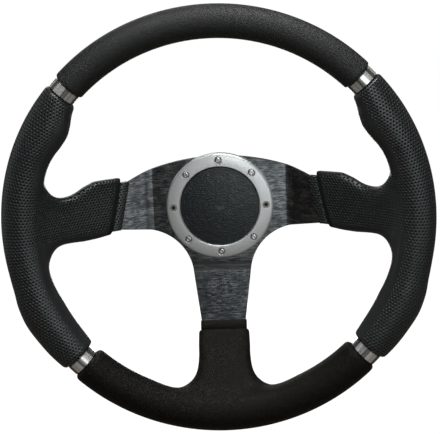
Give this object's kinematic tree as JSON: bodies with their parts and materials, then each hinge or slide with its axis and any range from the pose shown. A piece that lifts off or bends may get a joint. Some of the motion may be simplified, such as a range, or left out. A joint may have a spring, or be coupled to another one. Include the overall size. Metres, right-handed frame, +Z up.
{
  "type": "boat steering wheel",
  "caption": "Dished boat steering wheel with a bent three-spoke plate, moulded grips that run down the spokes, metal bands, a screwed trim ring, a centre cap and a keyed taper hub.",
  "frame": {"origin": "middle of the shaft bore's mouth, on the hub's rear face", "axes": "+Y along the shaft, away from the driver; +Z up, the long lower spoke pointing down; +X to the right as the driver sees it"},
  "size_m": [0.3508, 0.1188, 0.3508],
  "materials": {
    "grip_dimpled": "soft black moulding with rows of small dimples",
    "grip_grained": "soft black moulding with a fine leather grain",
    "band_polished": "polished along the rim",
    "plate_anodised": "brushed and black anodised",
    "ring_satin": "satin",
    "cap_grained": "black with a leather grain",
    "core_alloy": "mill finish",
    "boss_alloy": "turned and black anodised",
    "screw_steel": "bright",
    "bolt_dark": "dark"
  },
  "bodies": {
    "root": {"rim_core": "core_alloy", "spoke_plate": "plate_anodised", "top_grip": "grip_grained", "left_grip": "grip_dimpled", "right_grip": "grip_dimpled", "bottom_grip": "grip_grained", "upper_right_band": "band_polished", "upper_left_band": "band_polished", "lower_left_band": "band_polished", "lower_right_band": "band_polished", "trim_ring": "ring_satin", "centre_cap": "cap_grained", "hub_boss": "boss_alloy", "ring_screw_1": "screw_steel", "ring_screw_2": "screw_steel", "ring_screw_3": "screw_steel", "ring_screw_4": "screw_steel", "ring_screw_5": "screw_steel", "ring_screw_6": "screw_steel", "flush_screw_right": "screw_steel", "flush_screw_left": "screw_steel", "hub_bolt_1": "bolt_dark", "hub_bolt_2": "bolt_dark", "hub_bolt_3": "bolt_dark", "hub_bolt_4": "bolt_dark", "hub_bolt_5": "bolt_dark", "hub_bolt_6": "bolt_dark"}
  },
  "joints": []
}
